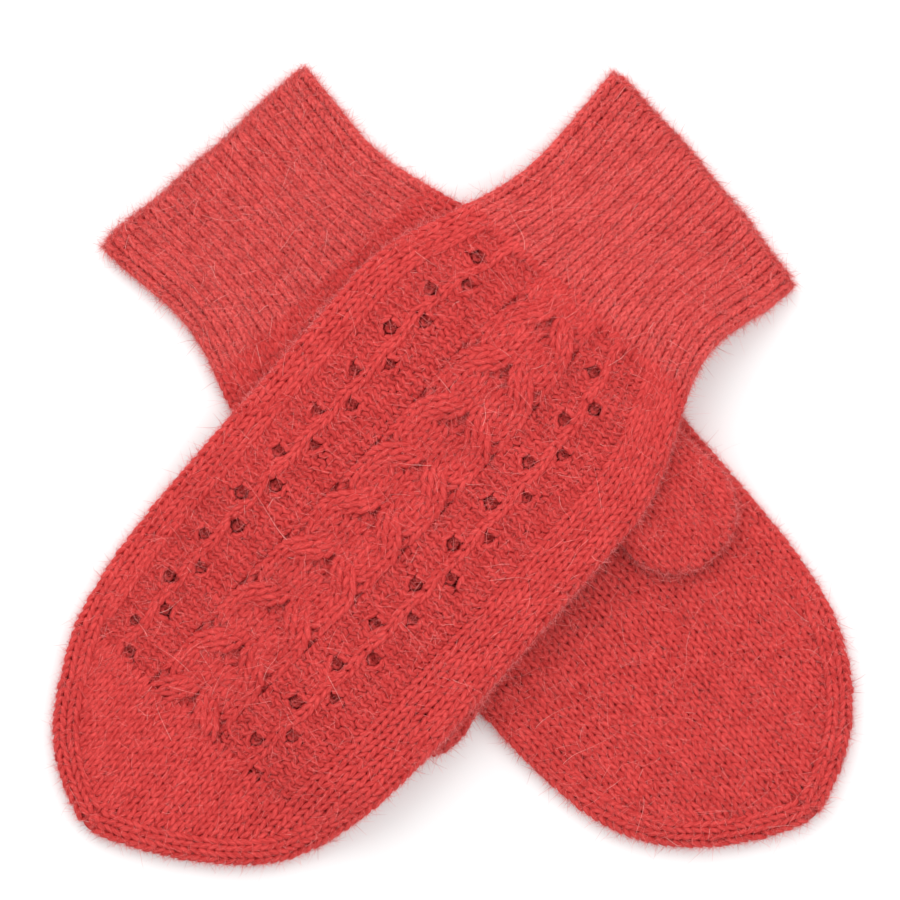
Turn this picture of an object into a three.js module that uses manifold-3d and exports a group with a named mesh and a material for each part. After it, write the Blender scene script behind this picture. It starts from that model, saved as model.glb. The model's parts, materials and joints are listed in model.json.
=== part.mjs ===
// A pair of knitted wool mittens lying flat and crossed.
// The left mitten lies palm up, and the right one lies across it, back up.
// Millimetres, +Z up, origin at the bottom centre of the pair's box.
//
// Each mitten is laid out on its own axis: v runs from the cuff's mouth to the fingertips, and u runs
// across it, towards the thumb. A layer of knitting is a slab between two heights over that outline.

import * as THREE from 'three';
import { mergeVertices } from 'three/addons/utils/BufferGeometryUtils.js';
import Module from 'manifold-3d';

const wasm = await Module();
wasm.setup();

// ---------------------------------------------------------------- driving dimensions

const fabric = 3.0; // thickness of one layer of the hand and cuff
const thumbFabric = 2.6; // thickness of one layer of the thumb
const gap = 0.3; // clearance between layers that lie on each other
const rimWidth = 8; // strip along a side fold where a layer thins out
const rimThickness = 1.3; // thickness of a layer at its side fold
const castOnWidth = 2.2; // width of the cast-on edge round the mouth
const drapeLength = 38; // run in which the right mitten comes down beside the left one
const thumbDrapeLength = 30; // run in which it comes down beside a thumb
const drapeBlend = 2.5; // height over which the drapes over a hand and over a thumb run together
const edgeRoom = 3; // strip beside an edge that the drape passes over at full height
const thumbRoom = 9; // the same beside a thumb

const left = {
  name: 'left',
  mouth: new THREE.Vector2(-70.9, 87.3), // centre of the mouth
  heading: THREE.MathUtils.degToRad(-48.5), // way the fingers point
  length: 263,
  cuffLength: 50,
  mouthWidth: 80,
  wristWidth: 76,
  wristFromMouth: 30, // where the cuff is narrowest
  flareLength: 57, // run from the wrist to the full hand width
  handWidth: 102,
  tipLength: 131, // run in which the hand rounds off to the fingertips
  tipFullness: 5.5, // higher is blunter
  tipWidth: 7, // width left for the drawn-up end
  mouthShift: -1.9, // how far the mouth sits to the thumb side of the axis
  bodyShift: 1.6, // the same for the hand
  tipShift: 3.8, // the same for the fingertips
  mouthSlant: 0, // slope of the mouth across the cuff
  mouthBow: -1, // how far the mouth bulges out at its middle
  thumbHole: 13,
  thumbRoot: new THREE.Vector2(31, 126), // centre of the thumb hole, as u and v
  thumbRootRadius: 16.5,
  thumbLength: 61.5, // from the centre of the thumb hole to the thumb's end
  thumbWidth: 37,
  thumbSplay: THREE.MathUtils.degToRad(1.5), // lean of the thumb away from the hand's axis
};

const right = {
  name: 'right',
  mouth: new THREE.Vector2(71.6, 82.4),
  heading: THREE.MathUtils.degToRad(-131.5),
  length: 262,
  cuffLength: 51,
  mouthWidth: 82,
  wristWidth: 76,
  wristFromMouth: 32,
  flareLength: 57,
  handWidth: 110,
  tipLength: 135,
  tipFullness: 5,
  tipWidth: 7,
  mouthShift: 4,
  bodyShift: 1.2,
  tipShift: -5.4,
  mouthSlant: 0.149,
  mouthBow: 1.8,
  thumbHole: 13,
  thumbRoot: new THREE.Vector2(34, 126),
  thumbRootRadius: 16.5,
  thumbLength: 62.5,
  thumbWidth: 37,
  thumbSplay: THREE.MathUtils.degToRad(9),
};

const thumbSwing = THREE.MathUtils.degToRad(25); // how far a thumb turns outwards
const gussetWall = 2.6; // ring of picked-up stitches round the thumb hole
const tipRoundness = 0.8; // lower is squarer at the fingertips
const gatherTaper = 0.45; // share of the height that each face of the gather loses at its end
const gatherNarrowing = 0.3; // share of its width that it loses there

const layerStep = fabric + gap;
const handTop = fabric + layerStep; // top of a mitten lying on the floor
const thumbLow = handTop + gap;
const thumbTop = thumbLow + 2 * thumbFabric + gap;

const stepsAcrossFlat = 8;
const stepsAcrossDraped = 14;
const stepsAlongHand = 26;
const stepsAlongCuff = 8;
const tipCrowding = 0.16; // how much closer the hand's steps lie near the fingertips
const roundSegments = 14; // on a quarter turn of a thumb's end

// ---------------------------------------------------------------- materials

const wool = new THREE.MeshStandardMaterial({ color: 0xce4543, roughness: 0.95, metalness: 0 });
const ribWool = new THREE.MeshStandardMaterial({ color: 0xc93f3e, roughness: 0.95, metalness: 0 });

// ---------------------------------------------------------------- outline of a mitten

const smooth = (t) => THREE.MathUtils.smoothstep(t, 0, 1);

function halfWidth(mitten, v) {
  const { mouthWidth, wristWidth, handWidth, wristFromMouth, flareLength, length, tipLength } = mitten;
  const cuff = THREE.MathUtils.lerp(mouthWidth, wristWidth, smooth(v / wristFromMouth)) / 2;
  const flare = smooth((v - wristFromMouth) / flareLength);
  const body = THREE.MathUtils.lerp(cuff, handWidth / 2, flare);
  const toTip = THREE.MathUtils.clamp((v - length + tipLength) / tipLength, 0, 1);
  return body * (1 - toTip ** mitten.tipFullness) ** tipRoundness;
}

function centreLine(mitten, v) {
  const { mouthShift, bodyShift, tipShift, cuffLength, flareLength, length, tipLength } = mitten;
  const intoHand = smooth((v - cuffLength) / flareLength);
  const intoTip = smooth((v - length + tipLength / 4) / (tipLength / 4));
  const body = THREE.MathUtils.lerp(mouthShift * (1 - smooth(v / cuffLength)), bodyShift, intoHand);
  return THREE.MathUtils.lerp(body, tipShift, intoTip);
}

// Length along the axis at which the outline is just tipWidth wide.
function gatherStart(mitten) {
  let low = mitten.length - mitten.tipLength;
  let high = mitten.length;
  for (let i = 0; i < 40; i += 1) {
    const middle = (low + high) / 2;
    if (2 * halfWidth(mitten, middle) > mitten.tipWidth) low = middle;
    else high = middle;
  }
  return low;
}

// Unit vectors on the floor: along the mitten, and across it towards the thumb.
function axes(mitten) {
  const along = new THREE.Vector2(Math.cos(mitten.heading), Math.sin(mitten.heading));
  return { along, across: new THREE.Vector2(-along.y, along.x) };
}

function toFloor(mitten, u, v) {
  const { along, across } = axes(mitten);
  return mitten.mouth.clone().addScaledVector(along, v).addScaledVector(across, u);
}

// A point of the outline's inside: s runs from -1 at the plain side to 1 at the thumb side.
function inOutline(mitten, s, v) {
  const u = centreLine(mitten, v) + s * halfWidth(mitten, v);
  const skew = mitten.mouthSlant * u - mitten.mouthBow * (1 - s * s);
  return toFloor(mitten, u, v + skew * (1 - smooth(v / mitten.cuffLength)));
}

// ---------------------------------------------------------------- how the right mitten drapes

function thumbEnds(mitten, turn) {
  const root = toFloor(mitten, mitten.thumbRoot.x, mitten.thumbRoot.y);
  const heading = mitten.heading + mitten.thumbSplay + turn;
  const reach = mitten.thumbLength - mitten.thumbWidth / 2;
  const direction = new THREE.Vector2(Math.cos(heading), Math.sin(heading));
  const end = root.clone().add(direction.multiplyScalar(reach));
  return { root, end };
}

// Distance from a point on the floor to a thumb's outline, less than zero inside it.
function distanceToThumb(mitten, turn, point) {
  const { root, end } = thumbEnds(mitten, turn);
  const run = end.clone().sub(root);
  const share = THREE.MathUtils.clamp(point.clone().sub(root).dot(run) / run.lengthSq(), 0, 1);
  const radius = THREE.MathUtils.lerp(mitten.thumbRootRadius, mitten.thumbWidth / 2, share);
  return point.distanceTo(root.addScaledVector(run, share)) - radius;
}

function distanceToHand(mitten, point) {
  const { along, across } = axes(mitten);
  const offset = point.clone().sub(mitten.mouth);
  const v = offset.dot(along);
  return Math.abs(offset.dot(across) - centreLine(mitten, v)) - halfWidth(mitten, v);
}

const fall = (distance, room, run) => 1 - smooth((distance - room) / run);

function smoothMax(a, b) {
  const overlap = Math.max(drapeBlend - Math.abs(a - b), 0);
  return Math.max(a, b) + (overlap * overlap) / (4 * drapeBlend);
}

// Height that the right mitten lies at: on the floor, on the left mitten, or on a thumb in its sweep.
function drape(point) {
  const overHand = (handTop + gap) * fall(distanceToHand(left, point), edgeRoom, drapeLength);
  let nearest = Infinity;
  for (const mitten of [left, right]) {
    for (const turn of [0, thumbSwing / 2, thumbSwing]) {
      nearest = Math.min(nearest, distanceToThumb(mitten, turn, point));
    }
  }
  const overThumb = (thumbTop + gap) * fall(nearest, thumbRoom, thumbDrapeLength);
  return smoothMax(overHand, overThumb) * smooth((overHand + overThumb) / gap);
}

const flat = () => 0;

// ---------------------------------------------------------------- solids

// Closed slab over a grid of floor points: at(s, t) gives the point, heights(s, point) its two heights.
function slab(columns, rows, at, heights) {
  const positions = [];
  const index = [];
  const width = columns.length;
  const layer = width * rows.length;
  for (const upper of [0, 1]) {
    for (const t of rows) {
      for (const s of columns) {
        const point = at(s, t);
        positions.push(point.x, point.y, heights(s, point, t)[upper]);
      }
    }
  }
  const quad = (a, b, c, d) => index.push(a, b, c, a, c, d);
  for (let j = 0; j + 1 < rows.length; j += 1) {
    for (let i = 0; i + 1 < width; i += 1) {
      const a = j * width + i;
      quad(a, a + 1, a + 1 + width, a + width);
      quad(layer + a, layer + a + width, layer + a + 1 + width, layer + a + 1);
    }
  }
  const rim = [];
  for (let i = 0; i < width; i += 1) rim.push(i);
  for (let j = 1; j < rows.length; j += 1) rim.push(j * width + width - 1);
  for (let i = width - 2; i >= 0; i -= 1) rim.push((rows.length - 1) * width + i);
  for (let j = rows.length - 2; j > 0; j -= 1) rim.push(j * width);
  rim.forEach((a, i) => {
    const b = rim[(i + 1) % rim.length];
    quad(b, a, a + layer, b + layer);
  });
  const geometry = new THREE.BufferGeometry();
  geometry.setAttribute('position', new THREE.Float32BufferAttribute(positions, 3));
  geometry.setIndex(index);
  return geometry;
}

function evenSteps(from, to, count) {
  return Array.from({ length: count + 1 }, (_, i) => from + ((to - from) * i) / count);
}

// Columns close together near the side folds, where a layer thins out.
const foldColumns = (steps) => evenSteps(0, Math.PI, steps).map((angle) => -Math.cos(angle));

// One layer of a mitten between two lengths. Layer 0 is the lower one, 1 the upper one.
function layerSlab(mitten, layer, support, lengths, castOn = false) {
  const heights = (s, point, v) => {
    const toEdge = (1 - Math.abs(s)) * halfWidth(mitten, v);
    const thinning = Math.max(1 - toEdge / rimWidth, 0) ** 2;
    const endThinning = castOn ? Math.max(1 - v / castOnWidth, 0) ** 2 : 0;
    const lost = (fabric - rimThickness) * Math.max(thinning, endThinning);
    const low = support(point) + layer * layerStep;
    return layer === 0 ? [low + lost, low + fabric] : [low, low + fabric - lost];
  };
  const columns = foldColumns(support === flat ? stepsAcrossFlat : stepsAcrossDraped);
  return slab(columns, lengths, (s, v) => inOutline(mitten, s, v), heights);
}

function toManifold(geometry) {
  const bare = geometry.clone();
  bare.deleteAttribute('normal');
  bare.deleteAttribute('uv');
  const merged = mergeVertices(bare);
  return new wasm.Manifold(new wasm.Mesh({
    numProp: 3,
    vertProperties: new Float32Array(merged.attributes.position.array),
    triVerts: new Uint32Array(merged.index.array),
  }));
}

function fromManifold(solid) {
  const mesh = solid.getMesh();
  const geometry = new THREE.BufferGeometry();
  geometry.setAttribute('position', new THREE.Float32BufferAttribute(mesh.vertProperties, 3));
  geometry.setIndex(new THREE.Uint32BufferAttribute(mesh.triVerts, 1));
  return geometry;
}

function circle(radius) {
  const path = new THREE.Path();
  path.absarc(0, 0, radius, 0, 2 * Math.PI, true);
  return path;
}

function disc(radius, hole, low, high) {
  const shape = new THREE.Shape();
  shape.absarc(0, 0, radius, 0, 2 * Math.PI, false);
  if (hole > 0) shape.holes.push(circle(hole));
  const settings = { depth: high - low, bevelEnabled: false, curveSegments: roundSegments };
  return new THREE.ExtrudeGeometry(shape, settings).translate(0, 0, low);
}

function cutThumbHole(geometry, mitten) {
  const root = toFloor(mitten, mitten.thumbRoot.x, mitten.thumbRoot.y);
  const drill = disc(mitten.thumbHole, 0, -fabric, 4 * thumbTop).translate(root.x, root.y, 0);
  return fromManifold(toManifold(geometry).subtract(toManifold(drill)));
}

// Thumb layer drawn round its root: a round root, a wider round end and the two tangents.
function thumbSlab(mitten, low, hole) {
  const endRadius = mitten.thumbWidth / 2;
  const reach = mitten.thumbLength - endRadius;
  const tangent = Math.acos((mitten.thumbRootRadius - endRadius) / reach);
  const shape = new THREE.Shape();
  shape.absarc(reach, 0, endRadius, -tangent, tangent, false);
  shape.absarc(0, 0, mitten.thumbRootRadius, tangent, 2 * Math.PI - tangent, false);
  if (hole > 0) shape.holes.push(circle(hole));
  const settings = { depth: thumbFabric, bevelEnabled: false, curveSegments: roundSegments };
  const geometry = new THREE.ExtrudeGeometry(shape, settings).translate(0, 0, low);
  const root = toFloor(mitten, mitten.thumbRoot.x, mitten.thumbRoot.y);
  return geometry.rotateZ(mitten.heading + mitten.thumbSplay).translate(root.x, root.y, 0);
}

// ---------------------------------------------------------------- pieces

const pair = new THREE.Group();

function add(name, geometry, material) {
  const mesh = new THREE.Mesh(geometry, material);
  mesh.name = name;
  pair.add(mesh);
}

// layers gives each side's place: 0 lies below, 1 on top.
function addMitten(mitten, layers, support) {
  const { name, cuffLength } = mitten;
  const tipStart = gatherStart(mitten);
  const castOnLengths = evenSteps(0, castOnWidth, 2);
  const cuffLengths = evenSteps(castOnWidth + gap, cuffLength - gap / 2, stepsAlongCuff);
  const crowd = (t) => t + tipCrowding * Math.sin(Math.PI * t) * t;
  const handSteps = evenSteps(0, 1, stepsAlongHand).map(crowd);
  const handLengths = handSteps.map((t) => cuffLength + gap / 2 + t * (tipStart - gap - cuffLength));
  for (const [side, layer] of Object.entries(layers)) {
    add(`${name}_cast_on_${side}`, layerSlab(mitten, layer, support, castOnLengths, true), ribWool);
    add(`${name}_cuff_${side}`, layerSlab(mitten, layer, support, cuffLengths), ribWool);
    const hand = layerSlab(mitten, layer, support, handLengths);
    add(`${name}_hand_${side}`, side === 'palm' ? cutThumbHole(hand, mitten) : hand, wool);
  }
  addGather(mitten, tipStart, support);
}

// The last stitches, drawn up into one small knot of fabric at the fingertips.
function addGather(mitten, start, support) {
  const heights = (s, point, v) => {
    const low = support(point);
    const inset = gatherTaper * handTop * ((v - start) / (mitten.length - start)) ** 2;
    return [low + inset, low + handTop - inset];
  };
  const half = mitten.tipWidth / 2;
  const at = (s, v) => {
    const width = half * (1 - gatherNarrowing * ((v - start) / half) ** 2);
    return toFloor(mitten, centreLine(mitten, v) + s * width, v);
  };
  const rows = evenSteps(start + gap, Math.min(mitten.length, start + half), 3);
  add(`${mitten.name}_fingertip_gather`, slab(evenSteps(-1, 1, 4), rows, at, heights), wool);
}

// The thumb's inner layer faces the palm and has the thumb hole; its outer layer is whole. The gusset
// is the ring of picked-up stitches that lines the hole, and the thumb turns about it.
function addThumb(mitten, innerLow, outerLow, gussetLow, gussetHigh) {
  const root = toFloor(mitten, mitten.thumbRoot.x, mitten.thumbRoot.y);
  const outer = mitten.thumbHole - gap;
  const ring = disc(outer, outer - gussetWall, gussetLow, gussetHigh).translate(root.x, root.y, 0);
  add(`${mitten.name}_thumb_gusset`, ring, wool);
  add(`${mitten.name}_thumb_inner`, thumbSlab(mitten, innerLow, mitten.thumbHole), wool);
  add(`${mitten.name}_thumb_outer`, thumbSlab(mitten, outerLow, 0), wool);
}

addMitten(left, { back: 0, palm: 1 }, flat);
addThumb(left, thumbLow, thumbLow + thumbFabric + gap, layerStep, thumbLow + thumbFabric);

addMitten(right, { palm: 0, back: 1 }, drape);
const rightRoot = toFloor(right, right.thumbRoot.x, right.thumbRoot.y);
addThumb(
  right, thumbLow + thumbFabric + gap, thumbLow,
  thumbLow + thumbFabric + gap, drape(rightRoot) + fabric,
);

const box = new THREE.Box3().setFromObject(pair);
const centre = box.getCenter(new THREE.Vector3());
pair.position.set(-centre.x, -centre.y, -box.min.z);

export default pair;
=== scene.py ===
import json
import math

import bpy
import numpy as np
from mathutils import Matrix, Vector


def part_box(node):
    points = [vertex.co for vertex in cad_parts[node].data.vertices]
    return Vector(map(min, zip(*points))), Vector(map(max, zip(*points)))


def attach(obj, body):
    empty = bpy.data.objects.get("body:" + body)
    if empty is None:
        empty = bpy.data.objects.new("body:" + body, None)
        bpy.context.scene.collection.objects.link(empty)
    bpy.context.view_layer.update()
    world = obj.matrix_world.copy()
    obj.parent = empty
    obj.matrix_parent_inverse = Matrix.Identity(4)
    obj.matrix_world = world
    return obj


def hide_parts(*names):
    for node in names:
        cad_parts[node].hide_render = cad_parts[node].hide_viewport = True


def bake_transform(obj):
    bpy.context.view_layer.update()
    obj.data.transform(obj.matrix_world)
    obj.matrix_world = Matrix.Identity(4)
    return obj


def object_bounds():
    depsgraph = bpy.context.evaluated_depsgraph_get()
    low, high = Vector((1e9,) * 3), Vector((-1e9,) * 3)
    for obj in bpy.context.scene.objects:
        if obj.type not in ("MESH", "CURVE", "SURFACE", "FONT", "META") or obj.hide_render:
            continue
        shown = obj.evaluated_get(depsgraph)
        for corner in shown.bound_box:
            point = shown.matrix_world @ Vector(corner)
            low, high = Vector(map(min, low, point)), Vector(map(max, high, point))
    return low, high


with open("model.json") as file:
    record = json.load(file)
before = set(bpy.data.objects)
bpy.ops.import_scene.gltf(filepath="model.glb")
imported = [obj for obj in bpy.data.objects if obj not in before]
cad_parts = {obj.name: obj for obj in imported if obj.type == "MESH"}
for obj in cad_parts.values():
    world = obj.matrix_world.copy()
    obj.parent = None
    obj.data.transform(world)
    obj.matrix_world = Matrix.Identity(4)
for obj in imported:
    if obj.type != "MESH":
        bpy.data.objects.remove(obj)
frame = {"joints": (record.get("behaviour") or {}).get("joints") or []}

# A pair of knitted wool mittens, lying flat and crossed. Every course of knitting is a real yarn: a
# tube that loops through its stitches, laid over the flattened outline of each mitten. The right
# mitten's back has a cable between two lace panels, and loose fibres stand out all over.
#
# Lengths are in millimetres until a mesh is made. On each mitten, v runs from the cuff's mouth to the
# fingertips and u runs across it, towards the thumb. Columns of stitches are called wales and rows of
# them courses.

cad_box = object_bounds()
MM = 0.001
FIBRE_TOP = cad_box[1][2] + 7 * MM  # no fibre stands higher than this
joints = {joint["name"]: joint for joint in frame["joints"]}

# ---------------------------------------------------------------- sizes

COURSE = 2.68  # height of one course in the hand
RIB_COURSE = 1.9  # and in the ribbing
YARN = 0.90  # radius of the yarn
RIB_YARN = 0.76
RIB_LEAN = 0.215  # lean of a ribbed stitch's legs, as a share of its width
RIB_PINCH = 0.05  # how far a ribbed stitch's legs are drawn together, as a share of its width
RIB_CROWN = 0.45  # how far the middle of a ribbed wale stands out
RIB_DEPTH = 0.66
RIB_WALES = 27  # wales across a flat cuff, with its side folds
RIB_PAIRS = 12  # pairs of wales on a cuff's face, between its side folds
DEPTH = 0.62  # how far a stitch's legs stand in front of its heads
LEAN = 0.235  # lean of a stitch's legs, as a share of its width
REACH = 0.92  # half the height of a loop, in courses
POINTS = 12  # rings along one stitch
SIDES = 6  # corners of a ring, which two faces of four corners close at a yarn's end

LAYER_MIDDLE = 1.65  # from the middle of a mitten to the middle of each layer
FOLD_INSET = 1.5  # from the outline to the middle of the yarn at a side fold
FOLD_DEPTH = 4.6  # run in which a layer rounds over into its side fold
BAND = 2  # wales of a side fold's band on each face
BAND_WALE = 3.4  # width of one of them in the hand
HIDDEN_RELIEF = 0.45  # how far stitches stand out on a face that lies on something
HIDDEN_RIB_RELIEF = 0.5
HAND_FALL = 38  # run in which the right mitten comes down from the left one
THUMB_FALL = 30  # and from a thumb
CAST_ON_YARN = 0.72
CAST_ON_PLACE = 1.4  # of the cast-on edge, from the mouth

LEFT = dict(
    name="left", length=263, cuff=50, mouth=80, wrist=76, narrowest=30, flare=57, hand=102,
    tip_run=131, fullness=5.5, tip_width=7, mouth_shift=-1.9, body_shift=1.6, tip_shift=3.8,
    slant=0, bow=-1, thumb_root=(31, 126), thumb_length=61.5, thumb_splay=math.radians(1.5),
    palm_wales=24, upper="palm", lower="back",
)
RIGHT = dict(
    name="right", length=262, cuff=51, mouth=82, wrist=76, narrowest=32, flare=57, hand=110,
    tip_run=135, fullness=5, tip_width=7, mouth_shift=4, body_shift=1.2, tip_shift=-5.4,
    slant=0.149, bow=1.8, thumb_root=(34, 126), thumb_length=62.5, thumb_splay=math.radians(9),
    palm_wales=26, upper="back", lower="palm",
)
THUMB_ROOT_RADIUS = 16.5
THUMB_WIDTH = 37
THUMB_HOLE = 13  # radius
THUMB_START = -14.5  # first course of a thumb, from its root
THUMB_WALES = 11
PICKED_UP = 24  # stitches round a thumb hole
THUMB_SWING = math.radians(25)
HAND_TOP = 6.3  # thickness of a mitten as it lies
GAP = 0.3  # between what lies on each other
THUMB_LOW = HAND_TOP + GAP
THUMB_TOP = THUMB_LOW + 5.5

CABLE_WALES = 8

# Runs of wales across the patterned back, from the plain side to the thumb side: what they are, how
# many, and the width of each.
BACK_PANELS = [
    ("knit", 1, 3.0), ("purl", 2, 2.9), ("eyelet", 1, 3.2), ("cord", 1, 3.1), ("eyelet", 1, 3.2),
    ("purl", 3, 3.6), ("cable", CABLE_WALES, 3.5), ("purl", 2, 3.5),
    ("eyelet", 1, 3.2), ("cord", 1, 3.2), ("eyelet", 1, 3.2), ("purl", 3, 3.4), ("knit", 3, 3.6),
]
PATTERN_ROWS = (1, 62)  # courses of the hand between which the pattern runs
EYELET_EVERY = 6  # courses between the eyelets of one line
EYELET_RADIUS = 1.6  # half the height of an eyelet
EYELET_STARTS = (3.5, 6.5, 4.5, 7.5)  # course of the first eyelet in each of the four lines
EYELETS = 10  # in one line
CORD_SWING = 0.55  # how far the cord between two lines swings from side to side
CABLE_EVERY = 7  # courses between the crossings of the cable
CABLE_START = 4.2  # course of the first one
CROSSINGS = 9
CABLE_TURN = 2.5  # half the courses that one crossing takes
CABLE_FRONT = 1.15  # how far the front strand of a crossing stands out
CABLE_BEHIND = -0.7  # and the one behind it
NAP = 49000  # short fibres in one piece of a mitten's nap
HALO_FIBRES = 49000  # and in its halo, along the edges
STRAYS = 1200  # long pale hairs on a mitten
THUMB_STRAYS = 60

random = np.random.default_rng(20)


# ---------------------------------------------------------------- outline of a mitten

def smooth(t):
    t = np.clip(t, 0, 1)
    return t * t * (3 - 2 * t)


def mix(a, b, t):
    return a + (b - a) * t


def straight(local):
    """The bend of a mouth that runs straight across."""
    return 0


class Tube:
    """A flattened tube of knitting: where it lies, its outline, and its two layers."""

    def __init__(self, origin, along, across, middle, support=None):
        self.origin, self.along, self.across = origin, along, across
        self.middle = middle  # height of the tube's middle above what it lies on
        self.support = support
        self.mouth_bend = straight

    def floor(self, u, v):
        return [self.origin[i] + self.along[i] * v + self.across[i] * u for i in (0, 1)]

    def world(self, points):
        """Local points, u, v and height, as places in metres."""
        x, y = self.floor(points[..., 0], points[..., 1])
        z = points[..., 2] + (self.support(x, y) if self.support else 0)
        return np.stack([x, y, z], -1) * MM

    def turn(self, vectors):
        across, along = vectors[..., 0], vectors[..., 1]
        x, y = [self.across[i] * across + self.along[i] * along for i in (0, 1)]
        return np.stack([x, y, vectors[..., 2]], -1)

    def lay_courses(self, start, course, band_width, parallel_from, turn_from, end):
        """Fixes the courses: where they start, and how they follow the outline round the tip."""
        self.start, self.course, self.parallel_from = start, course, parallel_from
        near = 1 - (1 - np.linspace(0, 1, 900)) ** 2
        v = mix(start - 2 * course, end, near)
        self.edge_v = v
        self.edges, self.inner = {}, {}
        for side in (-1, 1):
            u = self.centre(v) + side * self.half(v)
            steps = np.hypot(np.diff(u), np.diff(v))
            length = np.concatenate([[0], np.cumsum(steps)])
            at_turn = np.interp(turn_from, v, length)
            rows = np.where(
                v < turn_from, (v - start) / course,
                (turn_from - start + length - at_turn) / course,
            )
            tangent = np.stack([np.gradient(u), np.gradient(v)], -1)
            tangent /= np.linalg.norm(tangent, axis=1)[:, None]
            inward = np.stack([-side * tangent[:, 1], side * tangent[:, 0]], -1)
            level = np.stack([-side * np.ones_like(v), 0 * v], -1)
            turned = smooth((v - turn_from + 40) / 50)[:, None]
            inward = mix(level, inward, turned)
            inward /= np.linalg.norm(inward, axis=1)[:, None]
            room = np.abs(u - self.centre(v)) / np.maximum(np.abs(inward[:, 0]), 0.12)
            self.edges[side] = dict(rows=rows, u=u, inward=inward, room=room)
            depth = fold_profile(np.array([band_width]))[0][0]
            reach = np.minimum(depth, room)
            self.inner[side] = (u + inward[:, 0] * reach, v + inward[:, 1] * reach)
        self.band_width = band_width
        self.last_row = {side: self.edges[side]["rows"][-1] for side in (-1, 1)}

    def on_edge(self, side, q, row):
        """A place and its normal in a side fold. q is the way round the fold, over 0 on top."""
        edge = self.edges[side]
        v = np.interp(row, edge["rows"], self.edge_v)
        u = self.centre(v) + side * self.half(v)
        inward = np.stack([np.interp(row, edge["rows"], edge["inward"][:, i]) for i in (0, 1)], -1)
        depth, height, out, up = fold_profile(np.abs(q))
        depth = np.minimum(depth, np.interp(row, edge["rows"], edge["room"]))
        face = np.where(q >= 0, 1.0, -1.0)
        place = [u + inward[..., 0] * depth, v + inward[..., 1] * depth, self.middle + face * height]
        normal = [-inward[..., 0] * out, -inward[..., 1] * out, face * up]
        return np.stack(place, -1), np.stack(normal, -1)

    def limits(self, v):
        """Where the side bands' inner edges are at a length."""
        return [np.interp(v, self.inner[side][1], self.inner[side][0]) for side in (-1, 1)]

    def on_face(self, face, share, row, drift=None):
        """A place between the side bands. share runs from 0 to 1 across them."""
        v = self.start + self.course * row
        held = np.minimum(v, self.parallel_from)
        low, high = self.limits(held)
        u = mix(low, high, share)
        if drift:
            u = u + drift(held) * 4 * share * (1 - share)
        place = [u, v, self.middle + face * LAYER_MIDDLE + 0 * u]
        normal = [0 * u, 0 * u, face + 0 * u]
        return np.stack(place, -1), np.stack(normal, -1)


def _fold_table():
    angle = np.linspace(0, math.pi / 2, 60)
    depth = FOLD_DEPTH * (1 - np.cos(angle))
    height = LAYER_MIDDLE * np.sin(angle)
    way = np.concatenate([[0], np.cumsum(np.hypot(np.diff(depth), np.diff(height)))])
    out, up = np.cos(angle) / FOLD_DEPTH, np.sin(angle) / LAYER_MIDDLE
    size = np.hypot(out, up)
    return way, depth, height, out / size, up / size


FOLD = _fold_table()


def fold_profile(way):
    """Depth inside the outline, height over the middle, and normal, at a way round a side fold."""
    depth, height, out, up = [np.interp(way, FOLD[0], column) for column in FOLD[1:]]
    return FOLD_INSET + depth + np.maximum(way - FOLD[0][-1], 0), height, out, up


def make_mitten(values, support):
    joint = joints[values["name"] + "_cuff_fold"]
    across = (joint["axis"][0], joint["axis"][1])
    along = (across[1], -across[0])
    origin = [joint["pos_m"][i] / MM - along[i] * values["cuff"] for i in (0, 1)]
    tube = Tube(origin, along, across, HAND_TOP / 2, support)
    m = values

    def half(v):
        cuff = mix(m["mouth"], m["wrist"], smooth(v / m["narrowest"])) / 2
        body = mix(cuff, m["hand"] / 2, smooth((v - m["narrowest"]) / m["flare"]))
        tip = np.clip((v - m["length"] + m["tip_run"]) / m["tip_run"], 0, 1)
        return body * (1 - tip ** m["fullness"]) ** 0.8

    def centre(v):
        hand = smooth((v - m["cuff"]) / m["flare"])
        tip = smooth((v - m["length"] + m["tip_run"] / 4) / (m["tip_run"] / 4))
        body = mix(m["mouth_shift"] * (1 - smooth(v / m["cuff"])), m["body_shift"], hand)
        return mix(body, m["tip_shift"], tip)

    tube.half, tube.centre, tube.values, tube.name = half, centre, values, values["name"]
    return tube


def make_thumb(mitten, low):
    m = mitten.values
    joint = joints[m["name"] + "_thumb_swing"]
    root = [joint["pos_m"][i] / MM for i in (0, 1)]
    heading = math.atan2(mitten.along[1], mitten.along[0]) + m["thumb_splay"]
    along = (math.cos(heading), math.sin(heading))
    tube = Tube(root, along, (-along[1], along[0]), low + HAND_TOP / 2 - 0.35)
    end_radius = THUMB_WIDTH / 2
    reach = m["thumb_length"] - end_radius

    def half(v):
        body = mix(THUMB_ROOT_RADIUS, end_radius, np.clip(v / reach, 0, 1))
        root_end = np.sqrt(np.maximum(1 - np.clip(-v / THUMB_ROOT_RADIUS, 0, 1) ** 2, 0))
        tip_end = np.sqrt(np.maximum(1 - np.clip((v - reach) / end_radius, 0, 1) ** 2, 0))
        return body * root_end * tip_end

    tube.half, tube.centre, tube.reach = half, lambda v: 0 * v, reach
    tube.name = m["name"] + "_thumb"
    tube.length = m["thumb_length"]
    return tube


# ---------------------------------------------------------------- how the right mitten drapes

def distance_to_hand(x, y):
    offset = [x - LEFT_TUBE.origin[0], y - LEFT_TUBE.origin[1]]
    v = offset[0] * LEFT_TUBE.along[0] + offset[1] * LEFT_TUBE.along[1]
    u = offset[0] * LEFT_TUBE.across[0] + offset[1] * LEFT_TUBE.across[1]
    inside = np.clip(v, 0, LEFT["length"])
    return np.abs(u - LEFT_TUBE.centre(v)) - LEFT_TUBE.half(inside)


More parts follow.
